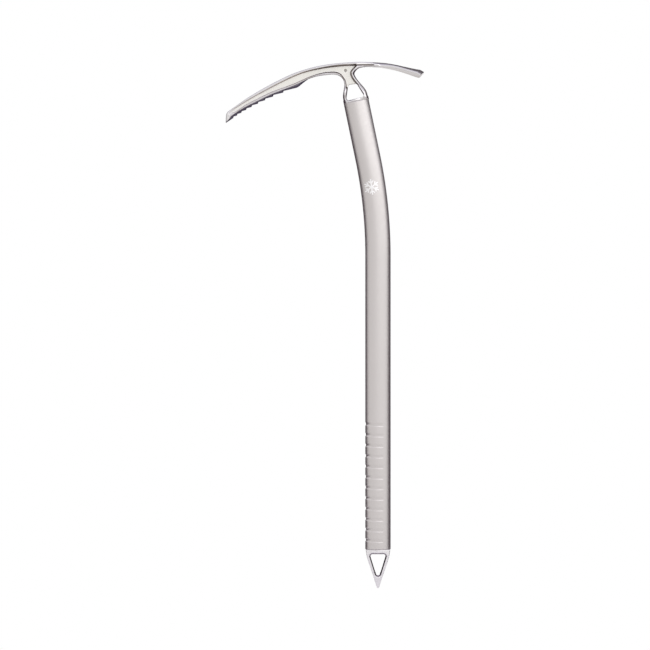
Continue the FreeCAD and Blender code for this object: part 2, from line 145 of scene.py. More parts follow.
# Spike sections from its shoulder to its point: height, half width, half depth
SPIKE = [(44, 13.9, 9.2), (36, 12.6, 7.8), (20, 7.5, 4.8), (8, 3.5, 2.5), (0, 1.1, 1.0)]
SPIKE_LENS = 0.44
SPIKE_BEVEL = 1.6
SPIKE_BEVEL_STEEPNESS = math.radians(63)
SPIKE_SEAT_Z = 18.6
SPIKE_SEAT_FALL = 1.5
SPIKE_HOLE_CORNERS = [(-9.4, 38.9, 2.4), (0, 8.6, 2.4), (9.4, 38.9, 2.4)]

# Printed snow crystal: sizes, and its centre across and along the tube from the foot
CRYSTAL_RADIUS = 8.4
CRYSTAL_STROKE = 1.5
CRYSTAL_BRANCH = ((0, 4.2), (2.5, 6.6))
CRYSTAL_HALF_DEPTH = 0.1
CRYSTAL_STRETCH = 8.0
CRYSTAL_ACROSS = -1.8
CRYSTAL_ALONG = 413.6

# Grid steps of the distance fields
HEAD_STEP = 0.5
SPIKE_STEP = 0.4
CRYSTAL_STEP = 0.3

# Rings and points round the tube
AROUND = 128
INNER_RINGS = 70

# Studio, in metres: floor disc, and the camera's distance, view width and aim in X and Z
FLOOR_RADIUS = 0.40
FLOOR_HEIGHT = -0.12
VIEW_DISTANCE = 3.6
VIEW_WIDTH = 0.74145
VIEW_CENTRE = (-0.0604, 0.3001)
SENSOR_WIDTH = 36.0

# Colour of the studio's light by height, from straight down (0) to straight up (1)
SKY_STOPS = [(0.0, (0.42, 0.37, 0.34)), (0.14, (0.64, 0.61, 0.59)), (0.28, (0.84, 0.82, 0.82)),
             (0.47, (0.76, 0.745, 0.74)), (0.60, (0.96, 0.95, 0.94)), (0.80, (0.88, 0.86, 0.92)),
             (1.0, (0.66, 0.63, 0.72))]


# ---------------------------------------------------------------- outlines

def smooth_line(points, per_span=12):
    """Points along a centripetal Catmull-Rom curve through the given points."""
    given = np.array(points, float)
    first = 2 * given[0] - given[1]
    last = 2 * given[-1] - given[-2]
    padded = np.vstack([first, given, last])
    made = []
    for p0, p1, p2, p3 in zip(padded, padded[1:], padded[2:], padded[3:]):
        t0 = 0.0
        t1 = t0 + math.sqrt(np.linalg.norm(p1 - p0))
        t2 = t1 + math.sqrt(np.linalg.norm(p2 - p1))
        t3 = t2 + math.sqrt(np.linalg.norm(p3 - p2))
        t = np.linspace(t1, t2, per_span, endpoint=False)[:, None]
        a1 = (t1 - t) / (t1 - t0) * p0 + (t - t0) / (t1 - t0) * p1
        a2 = (t2 - t) / (t2 - t1) * p1 + (t - t1) / (t2 - t1) * p2
        a3 = (t3 - t) / (t3 - t2) * p2 + (t - t2) / (t3 - t2) * p3
        b1 = (t2 - t) / (t2 - t0) * a1 + (t - t0) / (t2 - t0) * a2
        b2 = (t3 - t) / (t3 - t1) * a2 + (t - t1) / (t3 - t1) * a3
        made.append((t2 - t) / (t2 - t1) * b1 + (t - t1) / (t2 - t1) * b2)
    made.append(given[-1:])
    return np.vstack(made)


def rounded_corners(corners, per_corner=9):
    """Closed outline from (x, z, radius) corners, each rounded by a tangent arc."""
    outline = []
    for index, (x, z, radius) in enumerate(corners):
        here = np.array([x, z])
        before = np.array(corners[index - 1][:2]) - here
        after = np.array(corners[(index + 1) % len(corners)][:2]) - here
        before = before / np.linalg.norm(before)
        after = after / np.linalg.norm(after)
        half = math.acos(float(before @ after)) / 2
        middle = before + after
        centre = here + middle / np.linalg.norm(middle) * radius / math.sin(half)
        start = here + before * radius / math.tan(half) - centre
        end = here + after * radius / math.tan(half) - centre
        for share in np.linspace(0, 1, per_corner):
            spoke = start * (1 - share) + end * share
            outline.append(centre + spoke / np.linalg.norm(spoke) * radius)
    return np.array(outline)


def tooth_outline():
    """The toothed edge: a long edge towards the tip, a short steep face towards the shaft."""
    line = smooth_line(TOOTH_LINE)
    edge = [TOOTH_LINE[0]]
    for tip_x in TOOTH_TIPS_X:
        tip_z = float(np.interp(tip_x, line[:, 0], line[:, 1]))
        edge.append((tip_x, tip_z))
        edge.append((tip_x + TOOTH_FACE_RUN, tip_z + TOOTH_DEPTH))
    return np.vstack([edge, smooth_line(BLADE_HEEL), smooth_line(BLADE_ROOT)])


def distance_to_outline(x, z, outline):
    """Signed distance in the plane to a closed outline, negative inside."""
    nearest = np.full(x.shape, 1e9, np.float32)
    inside = np.zeros(x.shape, bool)
    for (x0, z0), (x1, z1) in zip(outline, np.roll(outline, -1, axis=0)):
        dx = x1 - x0
        dz = z1 - z0
        length = dx * dx + dz * dz
        if length < 1e-12:
            continue
        share = np.clip(((x - x0) * dx + (z - z0) * dz) / length, 0, 1)
        gap = (x - x0 - share * dx) ** 2 + (z - z0 - share * dz) ** 2
        nearest = np.minimum(nearest, gap)
        if z0 != z1:
            crosses = ((z0 > z) != (z1 > z)) & (x < (z - z0) * dx / dz + x0)
            inside ^= crosses
    return np.where(inside, -np.sqrt(nearest), np.sqrt(nearest)).astype(np.float32)


def distance_to_stroke(x, z, start, end):
    """Distance in the plane to a straight stroke."""
    run = np.array(end) - np.array(start)
    share = np.clip(((x - start[0]) * run[0] + (z - start[1]) * run[1]) / (run @ run), 0, 1)
    return np.hypot(x - start[0] - share * run[0], z - start[1] - share * run[1])


# ---------------------------------------------------------------- distance fields

def round_max(a, b, radius):
    """Intersection of two fields with a rounded edge."""
    corner = np.hypot(np.maximum(a + radius, 0), np.maximum(b + radius, 0))
    return np.minimum(np.maximum(a, b), -radius) + corner


def oval_max(a, b, radius_a, radius_b):
    """Intersection of two fields whose shared edge is a quarter oval."""
    across = a / radius_a + 1
    beyond = b / radius_b + 1
    corner = np.hypot(np.maximum(across, 0), np.maximum(beyond, 0)) - 1
    flat = np.maximum(across, beyond) - 1
    return np.where(flat < -1, flat, corner) * np.minimum(radius_a, radius_b)


def round_min(a, b, radius):
    """Union of two fields with a filleted seam."""
    return -round_max(-a, -b, radius)


def distance_to_ellipse(u, v, half_u, half_v):
    """Approximate distance to an ellipse, exact at its surface."""
    ring = np.sqrt((u / half_u) ** 2 + (v / half_v) ** 2) + 1e-6
    steep = np.sqrt((u / half_u ** 2) ** 2 + (v / half_v ** 2) ** 2) + 1e-6
    return ring * (ring - 1) / steep


def ease(value, low, high):
    """0 below low, 1 above high, smooth between."""
    share = np.clip((value - low) / (high - low), 0, 1)
    return share * share * (3 - 2 * share)


def along(stations, column, x):
    """Smoothly interpolated station value at x."""
    table = np.array(sorted(stations), float)
    curve = smooth_line(table[:, [0, column]])
    return np.interp(x, curve[:, 0], curve[:, 1])


def make_grid(low, high, step):
    """Evenly spaced X, Y and Z values from one corner of a box to the other."""
    return [np.arange(a, b + step, step, dtype=np.float32) for a, b in zip(low, high)]


def crossing_places(corner, cells):
    """Mean place, in grid steps, where the edges of each cell cross the zero level."""
    where = tuple(cells.T)
    total = np.zeros((len(cells), 3))
    hits = np.zeros(len(cells))
    for start in itertools.product((0, 1), repeat=3):
        for axis in range(3):
            if start[axis]:
                continue
            end = tuple(1 if i == axis else value for i, value in enumerate(start))
            fa = corner[start][where]
            fb = corner[end][where]
            crossing = (fa < 0) != (fb < 0)
            share = np.where(crossing, fa / np.where(crossing, fa - fb, 1), 0)
            point = np.tile(np.array(start, float), (len(cells), 1))
            point[:, axis] = share
            total[crossing] += point[crossing]
            hits[crossing] += 1
    return cells + total / hits[:, None]


def net_quads(inside, number, axis):
    """A quad round each grid edge along one axis whose ends are on different sides."""
    low = [slice(1, n) for n in number.shape]
    low[axis] = slice(0, number.shape[axis])
    up = list(low)
    up[axis] = slice(1, number.shape[axis] + 1)
    here = inside[tuple(low)]
    there = inside[tuple(up)]
    base = np.argwhere(here != there)
    enters = there[tuple(base.T)]
    base = base + np.array([s.start for s in low])
    u = np.zeros(3, int)
    v = np.zeros(3, int)
    u[(axis + 1) % 3] = 1
    v[(axis + 2) % 3] = 1
    ring = [base - u - v, base - v, base, base - u]
    quad = np.stack([number[tuple(r.T)] for r in ring], axis=1)
    quad[enters] = quad[enters][:, ::-1]
    return quad


def surface_net(field, axes):
    """Points and quads on the zero level of a field sampled on a grid."""
    shape = tuple(n - 1 for n in field.shape)
    corner = {}
    for offset in itertools.product((0, 1), repeat=3):
        corner[offset] = field[tuple(slice(o, o + n) for o, n in zip(offset, shape))]
    count = sum((values < 0).astype(np.int8) for values in corner.values())
    cells = np.argwhere((count > 0) & (count < 8))
    number = np.full(shape, -1, np.int32)
    number[tuple(cells.T)] = np.arange(len(cells))
    step = axes[0][1] - axes[0][0]
    points = crossing_places(corner, cells) * step + np.array([axis[0] for axis in axes])
    return points, np.vstack([net_quads(field < 0, number, axis) for axis in range(3)])


def plane_cells(points, axes):
    """Index of the nearest grid column in X and Z for each point."""
    step = axes[0][1] - axes[0][0]
    plane = (points[:, [0, 2]] - [axes[0][0], axes[2][0]]) / step
    return tuple(np.round(plane).astype(int).T)


def sample(values, axes, points):
    """Trilinear values of a grid at points."""
    step = axes[0][1] - axes[0][0]
    place = (points - np.array([axis[0] for axis in axes])) / step
    base = np.clip(np.floor(place).astype(int), 0, np.array(values.shape) - 2)
    share = np.clip(place - base, 0, 1)
    total = np.zeros(len(points))
    for offset in itertools.product((0, 1), repeat=3):
        weight = np.prod(np.where(offset, share, 1 - share), axis=1)
        total += weight * values[tuple((base + offset).T)]
    return total


def settle(field, axes, points):
    """Moves points onto the zero level and returns them with the field's outward directions."""
    step = axes[0][1] - axes[0][0]
    slopes = np.gradient(field, step)
    for _ in range(2):
        out = np.stack([sample(slope, axes, points) for slope in slopes], axis=1)
        length = np.linalg.norm(out, axis=1, keepdims=True) + 1e-6
        gap = sample(field, axes, points)[:, None] / length
        points = points - np.clip(gap, -0.3 * step, 0.3 * step) * out / length
    return points, out / length


# ---------------------------------------------------------------- meshes

def make_piece(name, points, faces, normals=None):
    """Smooth mesh object from points in millimetres, riding on the one body."""
    mesh = bpy.data.meshes.new(name)
    mesh.from_pydata((np.asarray(points) * MM).tolist(), [], [list(map(int, face)) for face in faces])
    mesh.validate()
    mesh.update()
    mesh.shade_smooth()
    if normals is not None:
        mesh.normals_split_custom_set_from_vertices(normals.tolist())
    piece = bpy.data.objects.new(name, mesh)
    bpy.context.scene.collection.objects.link(piece)
    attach(piece, "root")
    return piece


def store(piece, name, values):
    """Keeps one number per vertex for the material to read."""
    layer = piece.data.attributes.new(name, "FLOAT", "POINT")
    layer.data.foreach_set("value", np.asarray(values, np.float32))


def shaft_top():
    """Centre of the tube's top end, X and Z."""
    x = -BEND_RADIUS * (1 - math.cos(BEND_ANGLE)) - UPPER_STRAIGHT * math.sin(BEND_ANGLE)
    z = SHAFT_FOOT + LOWER_STRAIGHT + BEND_RADIUS * math.sin(BEND_ANGLE)
    return x, z + UPPER_STRAIGHT * math.cos(BEND_ANGLE)


def collar_axes(x, z):
    """Coordinates across and along the tilted upper tube, from the centre of its top."""
    top_x, top_z = shaft_top()
    across = (x - top_x) * math.cos(BEND_ANGLE) + (z - top_z) * math.sin(BEND_ANGLE)
    along_axis = -(x - top_x) * math.sin(BEND_ANGLE) + (z - top_z) * math.cos(BEND_ANGLE)
    return across, along_axis


def core_field(across, depth, height, length):
    """Tang or plug: an oval core with a pocket in each flank, from height 0 to its length."""
    half_width = SHAFT_HALF_WIDTH - SHAFT_WALL - BOND_GAP
    half_depth = SHAFT_HALF_DEPTH - SHAFT_WALL - BOND_GAP
    oval = distance_to_ellipse(across, depth, half_width, half_depth)
    core = round_max(oval, np.abs(height - length / 2 + 1) - length / 2 - 1, 0.8)
    pocket_side = np.abs(across) - (half_width - CORE_MARGIN)
    pocket_end = np.abs(height - length / 2) - (length / 2 - CORE_MARGIN)
    pocket = np.maximum(round_max(pocket_side, pocket_end, 2.0), CORE_WEB_HALF - np.abs(depth))
    return round_max(core, -pocket, 0.5)


def adze_field(x, y, z):
    """The adze: a cupped blade with a ground edge, fuller where it leaves the crown."""
    crown = along(ADZE, 1, x)
    half = along(ADZE, 2, x)
    sagitta = along(ADZE, 3, x)
    thickness = along(ADZE, 4, x)
    bow = (y / half) ** 2
    top = crown - sagitta * bow
    slope = 1 / np.sqrt(1 + (2 * sagitta * y / half ** 2) ** 2 + 0.04)
    edge = np.hypot(x - (ADZE_EDGE_X - ADZE_EDGE_RADIUS), y) - ADZE_EDGE_RADIUS
    bevel = np.minimum(thickness, ADZE_EDGE_THICKNESS - edge * ADZE_BEVEL_SLOPE)
    below = (top - thickness - z) * slope
    ground = (z - (top - thickness + bevel)) * slope
    side = np.maximum(np.abs(y) - half, ADZE_START_X - x)
    root = ease(x, *ADZE_ROOT_IN_X) * (1 - ease(x, *ADZE_ROOT_OUT_X))
    above = oval_max((z - top) * slope, side, 0.9 + 1.7 * root, 1.2 + 7.0 * root)
    blade = round_max(np.maximum(above, ground), below, 0.6)
    blade = round_max(blade, side, 0.6)
    return np.maximum(blade, edge)


def flange_half(x):
    """Half thickness of the pick's flanges, tapering to the tip."""
    return PICK_TIP_HALF + (FLANGE_HALF - PICK_TIP_HALF) * np.clip((x - PICK_TIP_X) / TAPER_LENGTH, 0, 1)


def flanged_body(x, y, z, half, recess):
    """Pick and neck: flanges round a thin web, with drafted recess walls."""
    body = distance_to_outline(x, z, np.vstack([
        smooth_line(SPINE), PICK_FRONT, smooth_line(BELLY), smooth_line(THROAT)]))
    neck = ease(x, *NECK_X) * (1 - ease(z, *NECK_Z))
    right = ease(x, *NECK_RIGHT_X)
    edge_across = 1.3 + 2.4 * neck * (0.3 + 0.7 * right)
    edge_deep = 1.7 + 5.3 * neck * (0.4 + 0.6 * right)
    field = oval_max(body, y - half, edge_across, edge_deep)
    draft = 0.17 + 0.15 * ease(x, *DRAFT_X)
    web = WEB_HALF - WEB_THINNING * ease(-x, *WEB_THINS_MINUS_X)
    pocket = round_max(recess - draft * (y - web), web - y, 0.6)
    return round_max(field, -pocket, 0.6 + 0.6 * neck)


def with_crease(field, x, y, z, half):
    """Cuts the crease under the crown, fading out towards the adze."""
    line = distance_to_stroke(x, z, *CREASE)
    crease = np.hypot(line, y - half - CREASE_STAND_OFF) - CREASE_RADIUS + ease(x, *CREASE_FADES_X)
    return round_max(field, -crease, 0.3)


def with_collar(field, x, y, across, up):
    """Adds the collar on the tube's end and keeps the foot of the neck inside the tube's outline."""
    envelope = distance_to_ellipse(across, y, SHAFT_HALF_WIDTH, SHAFT_HALF_DEPTH)
    collar = round_max(envelope, up - COLLAR_THICKNESS, 1.7)
    collar = np.maximum(collar, -up)
    field = round_min(field, collar, 1.8)
    beside = ease(-x, *FREE_OF_TUBE_MINUS_X) + ease(x, *FREE_OF_TUBE_X)
    slack = 9 * ease(up, *FREE_OF_TUBE_UP) + 400 * beside
    rounding = 0.2 + 0.8 * ease(up, 2, 10)
    return round_max(field, envelope - slack, rounding)


def with_eye(field, x, z, recess):
    """Cuts the carabiner eye, with a fuller edge on the leg at the pick's side."""
    eye = distance_to_outline(x, z, rounded_corners(EYE_CORNERS))
    on_leg = ease(recess, 0.0, 1.0) * (1 - ease(x, -31, -25))
    return oval_max(field, -eye, 3.3 * on_leg + 0.5, 1.7 * on_leg + 0.4)


def head_fields(axes):
    """Field of the head's half with Y from 0 up, and plane distances to its recess and its teeth."""
    x, z = np.meshgrid(axes[0], axes[2], indexing="ij")
    x = x[:, None, :]
    z = z[:, None, :]
    y = axes[1][None, :, None]
    recess = distance_to_outline(x, z, np.vstack([
        smooth_line(RECESS_TOP), smooth_line(RECESS_NECK), smooth_line(RECESS_BELLY)]))
    blade = distance_to_outline(x, z, tooth_outline())
    across, up = collar_axes(x, z)
    flare = (SHAFT_HALF_DEPTH - FLANGE_HALF) * (1 - ease(up, *FLARE_UP)) * ease(x, *FLARE_X)
    half = flange_half(x) + flare
    field = flanged_body(x, y, z, half, recess)
    bevel = TOOTH_EDGE_HALF + 0.8 * np.clip(-blade, 0, 1.7)
    field = round_min(field, round_max(blade, y - bevel, 0.2), 0.5)
    seam = 0.3 + 2.2 * ease(x, *SEAM_X)
    field = round_min(field, adze_field(x, y, z).astype(np.float32), seam)
    field = with_crease(field, x, y, z, half)
    field = with_collar(field, x, y, across, up)
    field = with_eye(field, x, z, recess)
    off_web = y - WEB_HALF - DIMPLE_STAND_OFF
    ball = np.sqrt((x - DIMPLE[0]) ** 2 + (z - DIMPLE[1]) ** 2 + off_web ** 2)
    field = round_max(field, DIMPLE_RADIUS - ball, 0.15)
    field = np.minimum(field, core_field(across, y, -up, TANG_LENGTH))
    return field, recess[:, 0, :], blade[:, 0, :]


def store_head_zones(piece, points, recess, blade):
    """Stores where the recess, its walls with their painted shade, the teeth, the crown's painted dark
    reflection band and the painted shade in the crease and the dimple are.
    """
    x, y, z = points.T
    depth = np.abs(y)
    level = depth / flange_half(x)
    # painted shade: the recess walls under the flanges get a tan-brown tint that stands in for the shade
    # there
    wall_shade = ease(-recess, -1.5, -0.9) * ease(depth, 2.1, 2.5) * (1 - ease(level, 0.8, 0.95))
    from_dimple = np.hypot(x - DIMPLE[0], z - DIMPLE[1])
    in_dimple = (1 - ease(from_dimple, 1.2, 1.7)) * (depth < 3)
    line = distance_to_stroke(x, z, *CREASE)
    in_crease = (1 - ease(line, 0.4, 0.9)) * ease(depth, 4, 5)
    under_crown = along(ADZE, 1, x) - z
    # painted reflection: a dark band along the crown where the adze leaves the head, darker colour
    # standing in for a dark reflection
    crown = ease(x, -7, 0) * (1 - ease(x, 14, 30)) * (1 - ease(under_crown, 1.0, 2.8))
    near_neck = ease(x, -92, -62)
    store(piece, "shade", np.maximum.reduce([wall_shade * near_neck, in_crease, 0.5 * in_dimple]))
    store(piece, "crown", crown)
    store(piece, "recess", ease(-recess, 0.2, 0.9) * (1 - ease(level, 0.85, 0.95)))
    store(piece, "wall_shade", wall_shade)
    store(piece, "teeth", ease(-blade, -0.4, 0.2) * (1 - ease(depth, 1.7, 2.3)))


def build_head():
    """The head's casting with its tang, mirrored from one half."""
    axes = make_grid((-176, 0, 509), (56, 26, 603), HEAD_STEP)
    half_field, recess, blade = head_fields(axes)
    field = np.concatenate([half_field[:, :0:-1, :], half_field], axis=1)
    axes[1] = np.concatenate([-axes[1][:0:-1], axes[1]])
    points, quads = surface_net(field, axes)
    points, normals = settle(field, axes, points)
    piece = make_piece("head_casting", points, quads, normals)
    cell = plane_cells(points, axes)
    store_head_zones(piece, points, recess[cell], blade[cell])
    return piece


def spike_field(axes):
    """Field of the spike with its plug, and the plane distance to its hole."""
    x, y, z = np.meshgrid(*axes, indexing="ij")
    half_width = along(SPIKE, 1, z)
    half_depth = along(SPIKE, 2, z)
    share = np.clip(np.abs(x) / half_width, 0, 1)
    face = half_depth * (1 - SPIKE_LENS * share ** 2)
    lean = 1 / np.sqrt(1 + (2 * SPIKE_LENS * half_depth * share / half_width) ** 2 + 0.04)
    blade = round_max((np.abs(x) - half_width) * 0.94, (np.abs(y) - face) * lean, 0.5)
    body = round_max(blade, np.maximum(z - SHAFT_FOOT, -z), 0.9)
    hole = distance_to_outline(x[:, 0, :], z[:, 0, :], rounded_corners(SPIKE_HOLE_CORNERS))
    seat = round_max(hole[:, None, :], SPIKE_SEAT_Z - SPIKE_SEAT_FALL * np.abs(y) - z, 0.6)
    flat_part = body * math.cos(SPIKE_BEVEL_STEEPNESS)
    bevel = flat_part + (SPIKE_BEVEL - hole[:, None, :]) * math.sin(SPIKE_BEVEL_STEEPNESS)
    body = round_max(np.maximum(body, -seat), bevel, 0.3)
    plug = core_field(x, np.abs(y), z - SHAFT_FOOT, PLUG_LENGTH)
    return np.minimum(body, plug), hole


def build_spike():
    """The spike's casting with its plug."""
    axes = make_grid((-16, -11, -1.2), (16, 11, 78), SPIKE_STEP)
    field, hole = spike_field(axes)
    points, quads = surface_net(field, axes)
    points, normals = settle(field, axes, points)
    piece = make_piece("spike_casting", points, quads, normals)
    beyond_hole = -hole[plane_cells(points, axes)]
    outside = (points[:, 2] < SHAFT_FOOT - 1) & (normals[:, 1] ** 2 < 0.45)
    # painted reflection: the bevel round the hole is tinted dark to stand in for the dark it reflects
    store(piece, "bevel", outside * ease(beyond_hole, -SPIKE_BEVEL - 0.3, -SPIKE_BEVEL + 0.4))
    return piece


def groove_depth_at(z, angle):
    """Depth of the grip grooves: a round notch on the edge, a shallow lipped dip on the flanks."""
    end_angle = math.acos(GROOVE_END_X / SHAFT_HALF_WIDTH)
    past_end = np.maximum(end_angle - np.abs(angle), 0) * SHAFT_HALF_WIDTH
    nearest = np.clip(np.round((z - LOWEST_GROOVE) / GROOVE_PITCH), 0, GROOVE_COUNT - 1)
    off = z - (LOWEST_GROOVE + nearest * GROOVE_PITCH)
    reach = GROOVE_CUTTER ** 2 - off ** 2
    notch = np.maximum(np.sqrt(np.maximum(reach, 0)) - (GROOVE_CUTTER - GROOVE_DEPTH), 0)
    dip = ease(-off, -GROOVE_HALF, 1.4) * ease(off, GROOVE_LIP, GROOVE_LIP + 0.6) * FLANK_DEPTH
    dip = dip * (1 - ease(past_end, 0.0, 1.2))
    on_edge = ease(-np.cos(angle), 0.45, 0.95)
    return notch * on_edge + dip * (1 - on_edge)


def shaft_heights():
    """Distances along the tube's axis where it has a ring of points."""
    top_groove = LOWEST_GROOVE + (GROOVE_COUNT - 1) * GROOVE_PITCH - SHAFT_FOOT
    lead = LOWEST_GROOVE - SHAFT_FOOT
    grooves = np.arange(lead - 3.9, top_groove + 4.01, 0.3)
    bend_length = BEND_RADIUS * BEND_ANGLE
    total = LOWER_STRAIGHT + bend_length + UPPER_STRAIGHT
    plain = np.linspace(top_groove + 8, total - 1, 90)
    return np.concatenate([[0.0, 0.35, 0.9, 1.6, 4.0], grooves, plain, [total]])


def axis_point(distance):
    """Place and tilt of the tube's axis at a distance up from its foot."""
    bend_length = BEND_RADIUS * BEND_ANGLE
    turn = np.clip((distance - LOWER_STRAIGHT) / bend_length, 0, 1) * BEND_ANGLE
    rest = np.maximum(distance - LOWER_STRAIGHT - bend_length, 0)
    x = -BEND_RADIUS * (1 - np.cos(turn)) - rest * np.sin(turn)
    z = SHAFT_FOOT + np.minimum(distance, LOWER_STRAIGHT) + BEND_RADIUS * np.sin(turn)
    return x, z + rest * np.cos(turn), turn


def tube_skin(distances, inset, around, shaped):
    """Rings of points on the tube, `inset` inside its outer skin."""
    angle = np.linspace(-math.pi, math.pi, around, endpoint=False)
    s, a = np.meshgrid(distances, angle, indexing="ij")
    x, z, turn = axis_point(s)
    depth = np.full_like(s, inset)
    if shaped:
        depth = depth + groove_depth_at(z, a)
        foot_round = np.maximum(1.0 - s, 0)
        depth = depth + 1.0 - np.sqrt(np.maximum(1.0 - foot_round ** 2, 0))
    across = (SHAFT_HALF_WIDTH - depth) * np.cos(a)
    along_y = (SHAFT_HALF_DEPTH - depth) * np.sin(a)
    return np.stack([x + across * np.cos(turn), along_y, z + across * np.sin(turn)], axis=-1)


def grid_faces(rows, columns, start, outward):
    """Quads joining rings of points that close round."""
    row, column = np.meshgrid(np.arange(rows - 1), np.arange(columns), indexing="ij")
    after = (column + 1) % columns
    quad = np.stack([row * columns + column, row * columns + after,
                     (row + 1) * columns + after, (row + 1) * columns + column], axis=-1)
    quad = quad.reshape(-1, 4) + start
    return quad if outward else quad[:, ::-1]


def build_shaft():
    """The tube: a shaped outer skin, a plain inner skin and the two rims that join them."""
    outer_rings = shaft_heights()
    inner_rings = np.linspace(0, outer_rings[-1], INNER_RINGS)
    outer = tube_skin(outer_rings, 0.0, AROUND, True).reshape(-1, 3)
    inner = tube_skin(inner_rings, SHAFT_WALL, AROUND, False).reshape(-1, 3)
    faces = [grid_faces(len(outer_rings), AROUND, 0, True),
             grid_faces(len(inner_rings), AROUND, len(outer), False)]
    column = np.arange(AROUND)
    after = (column + 1) % AROUND
    last = len(outer) - AROUND
    for out_ring, in_ring, flipped in ((0, len(outer), False), (last, last + len(inner), True)):
        rim = np.stack([in_ring + column, in_ring + after, out_ring + after, out_ring + column], axis=1)
        faces.append(rim[:, ::-1] if flipped else rim)
    return make_piece("shaft_tube", np.concatenate([outer, inner]), np.vstack(faces))


def crystal_strokes(x, z):
    """Distance in the plane to the middle lines of six arms with a pair of branches each."""
    strokes = np.full(x.shape, 99.0)
    for turn in range(6):
        angle = turn * math.pi / 3
        up_arm = x * math.sin(angle) + z * math.cos(angle)
        off_arm = np.abs(x * math.cos(angle) - z * math.sin(angle))
        stem = distance_to_stroke(off_arm, up_arm, (0, 0), (0, CRYSTAL_RADIUS))
        branch = distance_to_stroke(off_arm, up_arm, *CRYSTAL_BRANCH)
        strokes = np.minimum(strokes, np.minimum(stem, branch))
    return strokes


def build_crystal():
    """A small printed snow crystal that follows the shaft's flank in the bend."""
    reach = CRYSTAL_RADIUS + 1
    axes = make_grid((-reach, -1.5, -reach), (reach, 1.5, reach), CRYSTAL_STEP)
    strokes = crystal_strokes(*np.meshgrid(axes[0], axes[2], indexing="ij"))
    slab = np.abs(axes[1])[None, :, None] - CRYSTAL_HALF_DEPTH * CRYSTAL_STRETCH
    field = np.maximum((strokes - CRYSTAL_STROKE / 2)[:, None, :], slab)
    spots, faces = surface_net(field, axes)
    across = spots[:, 0] + CRYSTAL_ACROSS
    x, z, turn = axis_point(CRYSTAL_ALONG + spots[:, 2])
    flank = np.sqrt(1 - (across / SHAFT_HALF_WIDTH) ** 2) * SHAFT_HALF_DEPTH
    out = flank - spots[:, 1] / CRYSTAL_STRETCH
    points = np.stack([x + across * np.cos(turn), -out, z + across * np.sin(turn)], axis=1)
    return make_piece("snow_crystal_print", points, faces)


# ---------------------------------------------------------------- materials

def new_material(name):
    """A material with its node tree and its one shader."""
    material = bpy.data.materials.new(name)
    material.use_nodes = True
    return material, material.node_tree, material.node_tree.nodes["Principled BSDF"]


def attribute(tree, name):
    """The number stored per vertex under this name."""
    node = tree.nodes.new("ShaderNodeAttribute")
    node.attribute_name = name
    return node.outputs["Fac"]


def noise(tree, scale, detail=2.0, roughness=0.5, stretch=(1, 1, 1)):
    """Noise over the piece's own coordinates; scale is features per metre."""
    place = tree.nodes.new("ShaderNodeTexCoord")
    mapping = tree.nodes.new("ShaderNodeMapping")
    mapping.inputs["Scale"].default_value = stretch
    tree.links.new(place.outputs["Object"], mapping.inputs["Vector"])
    texture = tree.nodes.new("ShaderNodeTexNoise")
    texture.inputs["Scale"].default_value = scale
    texture.inputs["Detail"].default_value = detail
    texture.inputs["Roughness"].default_value = roughness
    tree.links.new(mapping.outputs["Vector"], texture.inputs["Vector"])
    return texture.outputs["Fac"]


def to_range(tree, value, low, high, out_low, out_high):
    """A value moved from one range to another, held at the ends."""
    node = tree.nodes.new("ShaderNodeMapRange")
    node.inputs["From Min"].default_value = low
    node.inputs["From Max"].default_value = high
    node.inputs["To Min"].default_value = out_low
    node.inputs["To Max"].default_value = out_high
    tree.links.new(value, node.inputs["Value"])
    return node.outputs["Result"]


def mix_number(tree, share, a, b):
    """Number a where the share is 0 and b where it is 1; each is a number or a socket."""
    node = tree.nodes.new("ShaderNodeMix")
    node.data_type = "FLOAT"
    tree.links.new(share, node.inputs["Factor"])
    for socket, value in ((node.inputs["A"], a), (node.inputs["B"], b)):
        if isinstance(value, (int, float)):
            socket.default_value = value
        else:
            tree.links.new(value, socket)
    return node.outputs["Result"]


def combine(tree, operation, a, b):
    """One arithmetic step on two sockets."""
    node = tree.nodes.new("ShaderNodeMath")
    node.operation = operation
    tree.links.new(a, node.inputs[0])
    tree.links.new(b, node.inputs[1])
    return node.outputs[0]


def mix_colour(tree, share, a, b, blend="MIX"):
    """Colour a blended with b by the share, or fully where there is no share."""
    node = tree.nodes.new("ShaderNodeMix")
    node.data_type = "RGBA"
    node.blend_type = blend
    if share is None:
        node.inputs[0].default_value = 1.0
    else:
        tree.links.new(share, node.inputs[0])
    for socket, value in ((node.inputs[6], a), (node.inputs[7], b)):
        if isinstance(value, tuple):
            socket.default_value = (*value, 1)
        else:
            tree.links.new(value, socket)
    return node.outputs[2]


def bump(tree, height, strength, distance):
    """Normals of a fine relief; distance is in metres."""
    node = tree.nodes.new("ShaderNodeBump")
    node.inputs["Strength"].default_value = strength
    node.inputs["Distance"].default_value = distance
    tree.links.new(height, node.inputs["Height"])
    return node.outputs["Normal"]


